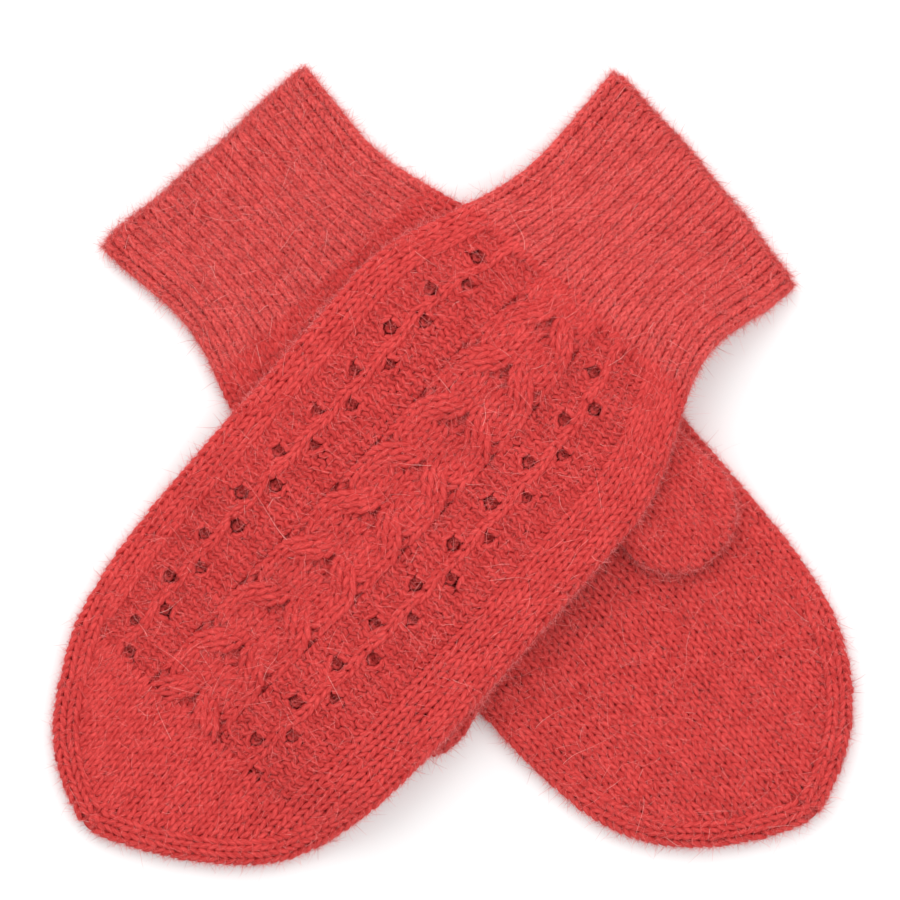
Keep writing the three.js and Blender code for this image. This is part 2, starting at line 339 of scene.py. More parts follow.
def distance_to_thumb(values, tube_along, turn, x, y):
    root = [joints[values["name"] + "_thumb_swing"]["pos_m"][i] / MM for i in (0, 1)]
    heading = math.atan2(tube_along[1], tube_along[0]) + values["thumb_splay"] + turn
    reach = values["thumb_length"] - THUMB_WIDTH / 2
    run = (math.cos(heading), math.sin(heading))
    share = np.clip(((x - root[0]) * run[0] + (y - root[1]) * run[1]) / reach, 0, 1)
    radius = mix(THUMB_ROOT_RADIUS, THUMB_WIDTH / 2, share)
    off = [x - root[0] - run[0] * share * reach, y - root[1] - run[1] * share * reach]
    return np.hypot(*off) - radius


def drape(x, y):
    """Height that the right mitten lies at: the floor, the left mitten, or a thumb."""
    over_hand = (HAND_TOP + GAP) * (1 - smooth((distance_to_hand(x, y) - 3) / HAND_FALL))
    nearest = np.inf
    for values, along in ((LEFT, LEFT_TUBE.along), (RIGHT, RIGHT_TUBE.along)):
        for turn in (0, THUMB_SWING / 2, THUMB_SWING):
            nearest = np.minimum(nearest, distance_to_thumb(values, along, turn, x, y))
    over_thumb = (THUMB_TOP + GAP) * (1 - smooth((nearest - 9) / THUMB_FALL))
    overlap = np.maximum(2.5 - np.abs(over_hand - over_thumb), 0)
    higher = np.maximum(over_hand, over_thumb) + overlap ** 2 / 10
    return higher * smooth((over_hand + over_thumb) / GAP)


# ---------------------------------------------------------------- yarn

def corner_uvs(start, stop, near, far):
    """UVs of faces that run from start to stop along a strip and from near to far across it."""
    return np.stack([start, near, start, far, stop, far, stop, near], -1).reshape(-1, 4, 2)


def quad_piece(name, points, faces, uv_maps, material):
    """A smooth piece of four-cornered faces, with its UV maps."""
    mesh = bpy.data.meshes.new(name)
    mesh.vertices.add(len(points))
    mesh.vertices.foreach_set("co", points.astype(np.float32).ravel())
    mesh.loops.add(faces.size)
    mesh.loops.foreach_set("vertex_index", faces.astype(np.int32).ravel())
    mesh.polygons.add(len(faces))
    mesh.polygons.foreach_set("loop_start", np.arange(0, faces.size, 4, dtype=np.int32))
    mesh.polygons.foreach_set("use_smooth", np.ones(len(faces), bool))
    for map_name, values in uv_maps.items():
        layer = mesh.uv_layers.new(name=map_name)
        layer.data.foreach_set("uv", values.astype(np.float32).ravel())
    mesh.uv_layers["Yarn"].active_render = True
    mesh.update()
    mesh.validate()
    piece = bpy.data.objects.new(name, mesh)
    bpy.context.scene.collection.objects.link(piece)
    piece.data.materials.append(material)
    return piece


class Yarns:
    """Yarns gathered into one mesh, with a place for each along its length and round it."""

    def __init__(self):
        self.points, self.faces, self.strands = [], [], []
        self.count = 0

    def add(self, centres, normals, radii):
        """One yarn along centres, in metres. The rings face the way that normals point."""
        tangent = np.gradient(centres, axis=0)
        tangent /= np.linalg.norm(tangent, axis=1)[:, None] + 1e-12
        side = np.cross(tangent, normals)
        side /= np.linalg.norm(side, axis=1)[:, None] + 1e-12
        up = np.cross(side, tangent)
        self.rings(centres, side, up, radii)

    def rings(self, centres, side, up, radii):
        n = len(centres)
        turn = np.arange(SIDES) * 2 * math.pi / SIDES
        ring = (
            side[:, None] * np.cos(turn)[None, :, None] + up[:, None] * np.sin(turn)[None, :, None]
        )
        points = centres[:, None] + ring * radii[:, None, None] * MM
        index = self.count + np.arange(n * SIDES).reshape(n, SIDES)
        following = np.roll(index, -1, axis=1)
        quads = np.stack([index[:-1], following[:-1], following[1:], index[1:]], -1)
        length = np.concatenate([[0], np.cumsum(np.linalg.norm(np.diff(centres, axis=0), axis=1))])
        self.points.append(points.reshape(-1, 3))
        self.faces.append(quads.reshape(-1, 4))
        self.strands.append((n, length / MM, index))
        self.count += n * SIDES

    def cap_faces(self):
        caps = []
        for n, _, index in self.strands:
            for ring in (index[0][::-1], index[-1]):
                caps.append([ring[0], ring[1], ring[2], ring[3]])
                caps.append([ring[0], ring[3], ring[4], ring[5]])
        return np.array(caps)

    def make(self, name, material):
        caps = self.cap_faces()
        faces = np.concatenate(self.faces + [caps])
        uv_maps = self.uv_maps(len(caps))
        return quad_piece(name, np.concatenate(self.points), faces, uv_maps, material)

    def uv_maps(self, caps):
        """Yarn gives each face its place along and round its yarn, OFBake a strip for each yarn."""
        longest = max(length[-1] for _, length, _ in self.strands)
        strips = len(self.strands)
        around = np.arange(SIDES)
        yarn, bake = [], []
        for number, (_, length, _) in enumerate(self.strands):
            low, high = length[:-1, None] + 0 * around, length[1:, None] + 0 * around
            near, far = (around + 0 * low) / SIDES, (around + 1 + 0 * low) / SIDES
            offset = number * 7.31
            yarn.append(corner_uvs(low + offset, high + offset, near, far))
            strip_low = (number + 0.06 + 0.88 * near) / strips
            strip_high = (number + 0.06 + 0.88 * far) / strips
            start, stop = 0.01 + 0.98 * low / longest, 0.01 + 0.98 * high / longest
            bake.append(corner_uvs(start, stop, strip_low, strip_high))
        blank = np.zeros((caps, 4, 2))
        return {"Yarn": np.concatenate(yarn + [blank]), "OFBake": np.concatenate(bake + [blank])}


# Kinds of wale: 1 for those that show knit stitches and -1 for purl ones, and how far each stands
# out of its layer. "behind" and "lining" lie behind the cable and the eyelets.
SIGN = {
    "knit": 1.0, "cord": 1.0, "cable": 1.0, "purl": -1.0, "eyelet": -1.0,
    "rib_ridge": 1.0, "rib_valley": 1.0, "behind": -1.0, "lining": -1.0,
}
RELIEF = {
    "knit": 0.0, "cord": 0.4, "cable": 0.3, "purl": -0.45, "eyelet": -0.35,
    "rib_ridge": 0.25, "rib_valley": -0.2, "behind": -1.15, "lining": -1.9,
}


def stitches(kinds, row, first=0.0, depth=DEPTH, lean=LEAN):
    """One course of stitches: its places in wales and courses, how far it stands out, and its swell."""
    count = len(kinds)
    t = np.linspace(0, 2 * math.pi * count, POINTS * count + 1)
    wale = t / (2 * math.pi)
    signs = np.array([SIGN[kind] for kind in kinds])
    knots = (np.arange(count)[:, None] + [0.25, 0.75]).ravel()
    sign = np.interp(wale, knots, np.repeat(signs, 2))
    loose = random.normal(0, 1, (4, count + 1))
    drift = [np.interp(wale, np.arange(count + 1), noise) for noise in loose]
    ribbed = kinds[0].startswith("rib")
    pinch = RIB_PINCH if ribbed else 0
    across = first + wale + lean * np.sin(2 * t) + pinch * np.sin(t) + 0.045 * drift[0]
    along = row - REACH * np.cos(t) + 0.06 * drift[1]
    out = -sign * depth * np.where(sign < 0, 1.35, 1) * np.cos(2 * t) + 0.10 * drift[2]
    if ribbed:
        out = out + RIB_CROWN * np.sin(math.pi * (across - first)) ** 2
    swell = 1 - 0.10 * np.cos(2 * t) + 0.06 * drift[3]
    return across, along, out, swell


def tuck(count, deep):
    """How far the two ends of a course are pulled under its neighbours."""
    wale = np.linspace(0, count, POINTS * count + 1)
    return -deep * (1 - smooth(np.minimum(wale, count - wale) / 0.5))


def runs(keep):
    """Unbroken runs of kept stitches, as first and last + 1."""
    edges = np.flatnonzero(np.diff(np.concatenate([[0], keep.astype(int), [0]])))
    return list(zip(edges[::2], edges[1::2]))


# ---------------------------------------------------------------- fabric

FUZZ_ROOTS = {}


def lay(yarns, tube, local, normals, out, swell, radius, fuzz=None, part=None):
    """Lays one yarn on a tube, and remembers where fibres may stand out of it."""
    places = tube.world(local + normals * out[:, None])
    places[:, 2] = np.maximum(places[:, 2], (radius * 1.1 + 0.05) * MM)
    facing = tube.turn(normals)
    if part:
        places, facing, swell = places[part], facing[part], swell[part]
    yarns.add(places, facing, radius * swell)
    if fuzz is not None:
        FUZZ_ROOTS.setdefault(fuzz, []).append((places[::2], facing[::2]))


def knit_band(tube, side, rows, kinds, width, radius, fuzz, proud=0.0, tip_from=None, lean=LEAN):
    """The wales round a side fold, from the lower face to the upper one."""
    yarns = Yarns()
    for row in rows:
        across, along, out, swell = stitches(kinds, row, lean=lean)
        q = (across - len(kinds) / 2) * width
        if tip_from is not None:
            out = out + proud * smooth((along - tip_from) / 6)
        local, normals = tube.on_edge(side, q, along)
        local[:, 1] += tube.mouth_bend(local)
        relief = np.interp(across, np.arange(len(kinds)) + 0.5, [RELIEF[k] for k in kinds])
        lay(yarns, tube, local, normals, out + relief, swell, radius, fuzz)
    return yarns


def knit_face(tube, face, kinds, shares, rows, radius, fuzz, drift=None, keep=None, warp=None,
              pieces=None, lift=1.0, depth=DEPTH, lean=LEAN, pull=0.9):
    """Courses between the side bands of one face, cut into pieces between given wales."""
    pieces = pieces or {"all": (0, len(kinds))}
    made = {name: Yarns() for name in pieces}
    for row in rows:
        kept = keep(row) if keep else np.ones(len(kinds), bool)
        for low, high in runs(kept):
            across, along, out, swell = stitches(kinds[low:high], row, low, depth, lean)
            share = np.interp(across, np.arange(len(kinds) + 1), shares)
            beyond = (across - np.clip(across, 0, len(kinds))) / len(kinds)
            local, normals = tube.on_face(face, share + beyond, along, drift)
            local[:, 1] += tube.mouth_bend(local)
            relief = np.interp(across, np.arange(len(kinds)) + 0.5, [RELIEF[k] for k in kinds])
            out = out + relief * lift
            if low > 0 or high < len(kinds):
                out = out + tuck(high - low, pull)
            if warp:
                local, out = warp(local, out, across, along, row)
            for name, (first, last) in pieces.items():
                start, stop = max(first, low), min(last, high)
                if stop <= start:
                    continue
                part = slice((start - low) * POINTS, (stop - low) * POINTS + 1)
                lay(made[name], tube, local, normals, out, swell, radius, fuzz, part)
    return made


def knit_cable(tube, face, first, shares, rows, radius, fuzz, drift, lift=1.0):
    """Two mirrored ropes of two strands each: the inner strand crosses over the outer one."""
    yarns = Yarns()
    middle = first + CABLE_WALES // 2
    for row in rows:
        for half in (-1, 1):
            for strand in (0, 1):
                across, along, out, swell = stitches(["cable"] * 2, row)
                crossings = CABLE_START + CABLE_EVERY * np.arange(CROSSINGS)
                turned = smooth((along[:, None] - crossings + CABLE_TURN) / (2 * CABLE_TURN)).sum(1)
                phase = (strand + turned) % 2
                outer = 1 - np.abs(1 - phase)
                crossing = np.sin(math.pi * (phase % 1))
                spread = 1 + np.where(phase < 1, 0.40, 0.95) * crossing
                height = np.where(phase < 1, CABLE_FRONT, CABLE_BEHIND) * crossing
                wale = middle + half * (2 * outer + 1) + (across - 1) * spread
                crown = 0.25 * np.sin(math.pi * np.clip(across / 2, 0, 1))
                share = np.interp(wale, np.arange(len(shares)), shares)
                local, normals = tube.on_face(face, share, along, drift)
                under = tuck(2, 0.5) * (0.3 + 0.7 * crossing)
                out = out + (RELIEF["cable"] + height + crown) * lift + under
                lay(yarns, tube, local, normals, out, swell, radius * 1.1, fuzz)
                FUZZ_ROOTS[fuzz].append(FUZZ_ROOTS[fuzz][-1])  # the cable is fuzzier
    return yarns


def panel_kinds():
    kinds, widths = [], []
    for kind, count, width in BACK_PANELS:
        kinds += [kind] * count
        widths += [width] * count
    edges = np.concatenate([[0], np.cumsum(widths)])
    return kinds, edges / edges[-1]


def pattern_drift(values):
    """How far the pattern leans across the hand, at a length."""
    middle = values["length"] / 2 + 2

    def drift(v):
        off = v - middle
        return -(0.0413 * off + 2.64e-4 * off ** 2) * (1 if values["name"] == "right" else -1)

    return drift


def eyelet_places(tube, shares, drift, face):
    """Centres of the four lines of eyelets, as u and v."""
    kinds, _ = panel_kinds()
    lines = [number for number, kind in enumerate(kinds) if kind == "eyelet"]
    places = []
    for line, start in zip(lines, EYELET_STARTS):
        for number in range(EYELETS):
            row = np.array([start + EYELET_EVERY * number])
            share = np.interp([line + 0.5], np.arange(len(shares)), shares)
            local, _ = tube.on_face(face, share, row, drift)
            size = EYELET_RADIUS * random.uniform(0.8, 1.12)
            shift = random.normal(0, 0.25)
            places.append((local[0, 0] + shift, local[0, 1], row[0], size))
    return np.array(places)


def lace_warp(eyelets, lift, radius):
    """Yarns near an eyelet are drawn aside from it, and the cord between two lines swings."""
    kinds, _ = panel_kinds()
    cords = [number + 0.5 for number, kind in enumerate(kinds) if kind == "cord"]

    def warp(local, out, across, along, row):
        inside = (along > PATTERN_ROWS[0]) & (along < PATTERN_ROWS[1])
        for cord, start in zip(cords, (EYELET_STARTS[0], EYELET_STARTS[2])):
            near = smooth(1.4 - np.abs(across - cord)) * inside
            swing = np.cos(2 * math.pi * (along - start) / EYELET_EVERY)
            local[:, 0] += CORD_SWING * near * swing
        aside = np.abs(local[:, None, 0] - eyelets[None, :, 0]) / eyelets[:, 3]
        off = np.abs(local[:, None, 1] - eyelets[None, :, 1])
        nearest = (aside + off / 6).argmin(1)
        at = np.arange(len(local))
        aside, hole = aside[at, nearest], eyelets[nearest]
        way = np.where(row > hole[:, 2], 1.0, -1.0)
        past = way * (local[:, 1] - hole[:, 1])
        rim = (hole[:, 3] + radius) * np.sqrt(np.maximum(1 - (aside / 1.7) ** 2, 0))
        pushed = (past + rim + np.sqrt((past - rim) ** 2 + 1.2)) / 2
        share = smooth((2.1 - aside) / 0.8)
        local[:, 1] = hole[:, 1] + way * mix(past, pushed, share)
        out = out + 0.3 * lift * share * smooth((6 - past) / 4)
        return local, out

    return warp


# ---------------------------------------------------------------- materials

def node(tree, kind, **settings):
    made = tree.nodes.new(kind)
    for name, value in settings.items():
        if name in made.inputs:
            made.inputs[name].default_value = value
        else:
            setattr(made, name, value)
    return made


def maths(tree, operation, *inputs):
    """The result of a maths node, whose inputs are numbers or other nodes' results."""
    made = node(tree, "ShaderNodeMath", operation=operation)
    for socket, value in zip(made.inputs, inputs):
        if isinstance(value, float):
            socket.default_value = value
        else:
            tree.links.new(value, socket)
    return made.outputs[0]


def plain_material(name, roughness, specular):
    material = bpy.data.materials.new(name)
    material.use_nodes = True
    tree = material.node_tree
    shader = tree.nodes["Principled BSDF"]
    shader.inputs["Roughness"].default_value = roughness
    shader.inputs["Specular IOR Level"].default_value = specular
    return material, tree, shader


def wool(name, dark, light, streak, painted_crown_light=0.3):
    """Brushed wool: streaks of fibre along the yarn, slow changes of tone, painted light and shade
    round each yarn, and a soft sheen.
    """
    material, tree, shader = plain_material(name, 0.9, 0.0)
    link = tree.links.new
    shader.inputs["Sheen Weight"].default_value = 0.06
    shader.inputs["Sheen Roughness"].default_value = 0.45
    shader.inputs["Sheen Tint"].default_value = (1.0, 0.35, 0.35, 1)
    along = node(tree, "ShaderNodeUVMap", uv_map="Yarn")
    stretch = node(tree, "ShaderNodeMapping")
    stretch.inputs["Scale"].default_value = (0.22, 4.0, 1)
    stretch.inputs["Rotation"].default_value = (0, 0, 0.35)
    fibres = node(tree, "ShaderNodeTexNoise", Scale=3.0, Detail=4.0, Roughness=0.7, Distortion=0.6)
    link(along.outputs["UV"], stretch.inputs["Vector"])
    link(stretch.outputs["Vector"], fibres.inputs["Vector"])
    place = node(tree, "ShaderNodeTexCoord")
    tone = node(tree, "ShaderNodeTexNoise", Scale=170.0, Detail=3.0, Roughness=0.6)
    link(place.outputs["Object"], tone.inputs["Vector"])
    share = maths(tree, "MULTIPLY_ADD", tone.outputs["Fac"], 0.5, 0.25 - streak / 2)
    total = maths(tree, "MULTIPLY_ADD", fibres.outputs["Fac"], streak, share)
    parts = node(tree, "ShaderNodeSeparateXYZ")
    link(along.outputs["UV"], parts.inputs[0])
    # painted light and shade: the way round the yarn lightens its side that faces out of the fabric and
    # darkens its flanks and the side turned in
    crown = maths(tree, "SINE", maths(tree, "MULTIPLY", parts.outputs["Y"], 2 * math.pi))
    tone_with_painted_crown_light = maths(tree, "MULTIPLY_ADD", crown, painted_crown_light, total)
    ramp = node(tree, "ShaderNodeValToRGB")
    ramp.color_ramp.elements[0].position = 0.2
    ramp.color_ramp.elements[0].color = (*dark, 1)
    ramp.color_ramp.elements[1].position = 1.0
    ramp.color_ramp.elements[1].color = (*light, 1)
    link(tone_with_painted_crown_light, ramp.inputs["Fac"])
    link(ramp.outputs["Color"], shader.inputs["Base Color"])
    bump = node(tree, "ShaderNodeBump", Strength=0.8, Distance=0.0005)
    link(fibres.outputs["Fac"], bump.inputs["Height"])
    link(bump.outputs["Normal"], shader.inputs["Normal"])
    return material


def fibre(name, dark, light, roughness=0.6):
    """Single fibres, each with a tone of its own."""
    material, tree, shader = plain_material(name, roughness, 0.06)
    tone = node(tree, "ShaderNodeUVMap", uv_map="Yarn")
    parts = node(tree, "ShaderNodeSeparateXYZ")
    ramp = node(tree, "ShaderNodeValToRGB")
    ramp.color_ramp.elements[0].color = (*dark, 1)
    ramp.color_ramp.elements[1].color = (*light, 1)
    tree.links.new(tone.outputs["UV"], parts.inputs[0])
    tree.links.new(parts.outputs["Y"], ramp.inputs["Fac"])
    tree.links.new(ramp.outputs["Color"], shader.inputs["Base Color"])
    return material


WOOL = wool("coral_wool", (0.31, 0.002, 0.003), (0.75, 0.084, 0.079), 1.6)
# painted light: the ribbed cuffs' wool is a lighter, pinker copy of the hand's wool, standing in for
# the brighter light that falls on the cuffs
RIB_WOOL_WITH_PAINTED_LIGHT = wool("coral_rib_wool", (0.35, 0.003, 0.004), (0.81, 0.118, 0.110), 1.6)
FUZZ = fibre("coral_fuzz", (0.34, 0.003, 0.004), (0.92, 0.25, 0.235))
# the halo fibres are real fuzz, but their pale pink, lighter than the wool they stand out of, is partly
# painted light: the glow of light along the mitten's edges
HALO_WITH_PAINTED_EDGE_LIGHT = fibre("pink_halo", (0.78, 0.10, 0.10), (0.94, 0.34, 0.33))
STRAY = fibre("pale_hairs", (0.84, 0.19, 0.18), (0.95, 0.50, 0.46), 0.5)


# ---------------------------------------------------------------- pieces

def own(piece, tube, slot, *nodes):
    """A piece of a mitten's cuff and hand: its transform is baked into its mesh, and the CAD parts it
    stands for are hidden.
    """
    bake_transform(piece)
    if nodes:
        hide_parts(*[f"{tube.name}_{node}" for node in nodes])


def cuff(tube):
    """The ribbed cuff: single knit and purl wales in turn, from the cast-on edge to the wrist."""
    m = tube.values
    name = tube.name
    stitch = (m["mouth"] + m["wrist"]) / 2 / RIB_WALES
    band = BAND * stitch

    def mouth_bend(local):
        s = (local[:, 0] - tube.centre(local[:, 1])) / np.maximum(tube.half(local[:, 1]), 1)
        bend = m["slant"] * local[:, 0] - m["bow"] * (1 - np.clip(s, -1, 1) ** 2)
        bend = bend + 1.2 * smooth((np.abs(s) - 0.88) / 0.12)
        bend = bend + 0.25 * np.sin(local[:, 0] / 4.1)
        bend = bend + 0.3 * np.sin(2 * math.pi * local[:, 0] / stitch)
        return bend * (1 - smooth(local[:, 1] / m["cuff"]))

    tube.mouth_bend = mouth_bend
    start = 3.0
    tube.lay_courses(start, RIB_COURSE, band, m["cuff"] + 60, m["cuff"] + 60, m["cuff"] + 40)
    rows = np.arange(int((m["cuff"] + 0.6 - start) / RIB_COURSE) + 1)
    kinds = ["rib_ridge", "rib_valley"] * RIB_PAIRS
    shares = np.linspace(0, 1, len(kinds) + 1)
    for face, side in ((1, m["upper"]), (-1, m["lower"])):
        made = knit_face(tube, face, kinds, shares, rows, RIB_YARN, name, depth=RIB_DEPTH,
                         lean=RIB_LEAN, lift=1.0 if face > 0 else HIDDEN_RIB_RELIEF)
        piece = made["all"].make(f"{name}_cuff_{side}_rib", RIB_WOOL_WITH_PAINTED_LIGHT)
        own(piece, tube, "coral_rib_wool", f"cuff_{side}")
    for side, word in ((-1, "plain"), (1, "thumb")):
        yarns = knit_band(tube, side, rows, ["rib_ridge", "rib_valley"] * BAND, stitch, RIB_YARN,
                          name, lean=RIB_LEAN)
        piece = yarns.make(f"{name}_cuff_{word}_side_rib", RIB_WOOL_WITH_PAINTED_LIGHT)
        own(piece, tube, "coral_rib_wool")
    cast_on(tube, stitch)
    tube.mouth_bend = straight


def round_the_mouth(tube, v, steps):
    """Places and normals all round the tube at one length."""
    half_turn = []
    for face in (1, -1):
        share = np.linspace(0, 1, steps)
        local, normals = tube.on_face(face, share, (v - tube.start) / tube.course + 0 * share)
        half_turn.append((local, normals) if face > 0 else (local[::-1], normals[::-1]))
    fold = np.linspace(1, -1, steps // 6)
    rounds = []
    for side in (1, -1):
        q = fold * tube.band_width * side
        rounds.append(tube.on_edge(side, q, (v - tube.start) / tube.course + 0 * q))
    parts = [half_turn[0], rounds[0], half_turn[1], rounds[1]]
    return [np.concatenate([part[i] for part in parts]) for i in (0, 1)]


def cast_on(tube, stitch):
    """The cast-on edge: two yarns twisted round each other along the mouth."""
    m = tube.values
    for face, side in ((1, m["upper"]), (-1, m["lower"])):
        local, normals = round_the_mouth(tube, CAST_ON_PLACE, 240)
        chosen = local[:, 2] * face >= tube.middle * face - 0.02
        order = np.flatnonzero(chosen)
        breaks = np.flatnonzero(np.diff(order) > 1)
        if len(breaks):
            order = np.concatenate([order[breaks[0] + 1:], order[:breaks[0] + 1]])
        local, normals = local[order], normals[order]
        length = np.concatenate([[0], np.cumsum(np.linalg.norm(np.diff(local, axis=0), axis=1))])
        count = int(length[-1] / stitch * 8)
        way = np.linspace(0, length[-1], count)
        local = np.stack([np.interp(way, length, local[:, i]) for i in range(3)], -1)
        normals = np.stack([np.interp(way, length, normals[:, i]) for i in range(3)], -1)
        local[:, 1] += tube.mouth_bend(local)
        yarns = Yarns()
        for turn in (0, math.pi):
            angle = 2 * math.pi * way / stitch + turn
            twisted = local.copy()
            twisted[:, 1] += 0.62 * np.cos(angle)
            lay(yarns, tube, twisted, normals, 0.55 * np.sin(angle), 1 + 0 * way, CAST_ON_YARN,
                tube.name)
            outward = tube.turn(np.tile([0.0, -1.0, 0.0], (len(way), 1)))
            FUZZ_ROOTS[tube.name].append((tube.world(twisted)[::3], outward[::3]))
        piece = yarns.make(f"{tube.name}_cast_on_{side}_edge", RIB_WOOL_WITH_PAINTED_LIGHT)
        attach(piece, tube.name + "_cuff")
        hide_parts(f"{tube.name}_cast_on_{side}")


def hand(tube):
    """The hand, from the end of the ribbing to the drawn-up fingertips."""
    m = tube.values
    name = tube.name
    band = BAND * BAND_WALE
    start = m["cuff"] + 1.6
    parallel = m["length"] - 56
    end = m["length"] - 0.6
    tube.lay_courses(start, COURSE, band, parallel, parallel - 4, end)
    last = int((m["length"] - 3 - start) / COURSE)
    rows = np.arange(last)
    drift = pattern_drift(m)

    # the patterned back
    kinds, shares = panel_kinds()
    face = 1 if m["upper"] == "back" else -1
    lift = 1.0 if face > 0 else HIDDEN_RELIEF
    if name == "left":
        shares = 1 - shares[::-1]
        kinds = kinds[::-1]
    cable_first = kinds.index("cable")
    eyelets = eyelet_places(tube, shares, drift, face)
    warp = lace_warp(eyelets, lift, YARN)
    patterned = rows[(rows >= PATTERN_ROWS[0]) & (rows < PATTERN_ROWS[1])]
    is_cable = np.array([kind == "cable" for kind in kinds])
    groups = {"plain_side": (0, cable_first), "thumb_side": (cable_first + CABLE_WALES, len(kinds))}
    made = knit_face(tube, face, kinds, shares, patterned, YARN, name, drift,
                     keep=lambda row: ~is_cable, warp=warp, pieces=groups, lift=lift,
                     pull=0.2)
    for word, yarns in made.items():
        own(yarns.make(f"{name}_lace_{word}", WOOL), tube, "coral_wool")
    cable = knit_cable(tube, face, cable_first, shares, patterned, YARN, name, drift, lift)
    own(cable.make(f"{name}_cable", WOOL), tube, "coral_wool", "hand_back")

    # plain courses behind the cable and the eyelets, which close the view into the mitten
    backed = ["behind" if cable else "lining" for cable in is_cable]
    needs_back = np.array([kind in ("cable", "eyelet") for kind in kinds])
    behind = knit_face(tube, face, backed, shares, patterned, YARN, name, drift,
                       keep=lambda row: needs_back, lift=lift)
    own(behind["all"].make(f"{name}_behind_cable", WOOL), tube, "coral_wool")

    # the plain courses on both sides of the pattern
    plain = ["knit"] * len(kinds)
    closing = within_bands(tube, face, shares, drift, len(kinds))
    for word, chosen in (("fingertips_back", rows[rows >= PATTERN_ROWS[1]]),
                         ("wrist_back", rows[rows < PATTERN_ROWS[0]])):
        made = knit_face(tube, face, plain, shares, chosen, YARN, name, drift, keep=closing)
        own(made["all"].make(f"{name}_{word}", WOOL), tube, "coral_wool")

    # the plain palm, with the thumb hole in it
    count = m["palm_wales"]
    palm = ["knit"] * count
    shares = np.linspace(0, 1, count + 1)
    closing = within_bands(tube, -face, shares, None, count)
    hole = clear_of_hole(tube, -face, shares, count)
    half_way = rows[len(rows) // 2]
    for word, chosen in (("palm_near_wrist", rows[rows < half_way]),
                         ("palm_near_tips", rows[rows >= half_way])):
        made = knit_face(tube, -face, palm, shares, chosen, YARN, name,
                         keep=lambda row: closing(row) & hole(row))
        nodes = ["hand_palm"] if word == "palm_near_wrist" else []
        own(made["all"].make(f"{name}_{word}", WOOL), tube, "coral_wool", *nodes)

    # the bands round the side folds
    for side, word in ((-1, "plain"), (1, "thumb")):
        rows_round = np.arange(int(tube.last_row[side]) + 1)
        tip_from = (parallel - start) / COURSE
        yarns = knit_band(tube, side, rows_round, ["knit"] * (2 * BAND), BAND_WALE, YARN, name,
                          proud=0.55, tip_from=tip_from)
        own(yarns.make(f"{name}_{word}_side_band", WOOL), tube, "coral_wool")
    gather(tube)


def within_bands(tube, face, shares, drift, count):
    """Which wales of a course lie between the side bands."""
    middles = (shares[1:] + shares[:-1]) / 2

    def keep(row):
        local, _ = tube.on_face(face, middles, row + np.zeros(count), drift)
        v = local[0, 1]
        low, high = tube.limits(v)
        return (local[:, 0] > low - 2.2) & (local[:, 0] < high + 2.2)

    return keep


def clear_of_hole(tube, face, shares, count):
    """Which wales of a course miss the thumb hole."""
    middles = (shares[1:] + shares[:-1]) / 2
    root = tube.values["thumb_root"]

    def keep(row):
        local, _ = tube.on_face(face, middles, row + np.zeros(count))
        return np.hypot(local[:, 0] - root[0], local[:, 1] - root[1]) > THUMB_HOLE - 0.5

    return keep


def gather(tube):
    """The last loops, drawn up by a yarn that is wound through them."""
    m = tube.values
    t = np.linspace(0, 1, 90)
    angle = 2 * math.pi * 3 * t
    size = mix(3.4, 0.7, t)
    v = m["length"] - 4.2
    local = np.stack([
        tube.centre(v) + size * np.cos(angle), v + 0.75 * size * np.sin(angle),
        tube.middle + mix(-1.2, 2.6, t) + 0.5 * np.sin(5 * angle),
    ], -1)
    normals = np.tile([0.0, 0.0, 1.0], (len(t), 1))
    yarns = Yarns()
    lay(yarns, tube, local, normals, 0 * t, 1 + 0 * t, 1.15, tube.name)
    piece = yarns.make(f"{tube.name}_drawn_up_loops", WOOL)
    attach(piece, tube.name + "_hand")
    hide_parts(f"{tube.name}_fingertip_gather")


def round_over(tube, face, u, v):
    """A place on a thumb's face: flat inside, and rounded over into the other face at its outline."""
    unfolded = FOLD_INSET + FOLD_DEPTH - FOLD[0][-1]
    share = np.clip(v / tube.reach, 0, 1)
    radius = mix(THUMB_ROOT_RADIUS, THUMB_WIDTH / 2, share)
    u = u * (radius - unfolded) / (THUMB_WIDTH / 2 - unfolded)
    beyond = v - share * tube.reach
    distance = np.hypot(u, beyond) + 1e-6
    way = radius - unfolded - distance
    depth, height, out, up = fold_profile(np.abs(way))
    facing = face * np.where(way >= 0, 1.0, -1.0)
    kept = (radius - depth) / distance
    place = [u * kept, share * tube.reach + beyond * kept, tube.middle + facing * height]
    normal = [u / distance * out, beyond / distance * out, facing * up]
    return np.stack(place, -1), np.stack(normal, -1), way


def thumb(tube, mitten):
    """A thumb: a short tube of plain knitting with a round end."""
    start = THUMB_START
    count = THUMB_WALES
    rows = np.arange(int((tube.length - start) / COURSE))
    unfolded = FOLD_INSET + FOLD_DEPTH - FOLD[0][-1]
    width = (THUMB_WIDTH - 2 * unfolded) / count
    body = mitten.name + "_thumb"
    for face in (1, -1):
        yarns = Yarns()
        for row in rows:
            middles = (np.arange(count) + 0.5 - count / 2) * width
            _, _, way = round_over(tube, face, middles, start + COURSE * row + 0 * middles)
            for low, high in runs(way > -0.25 * width):
                across, along, out, swell = stitches(["knit"] * (high - low), row, low)
                u, v = (across - count / 2) * width, start + COURSE * along
                local, normals, _ = round_over(tube, face, u, v)
                out = out * (1 if face > 0 else HIDDEN_RELIEF) + tuck(high - low, 0.3)
                lay(yarns, tube, local, normals, out, swell, YARN, body)
        word = "inner" if (face < 0) == (mitten.name == "left") else "outer"
        piece = yarns.make(f"{body}_{word}_knit", WOOL)
        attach(piece, body)
        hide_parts(f"{body}_{word}")


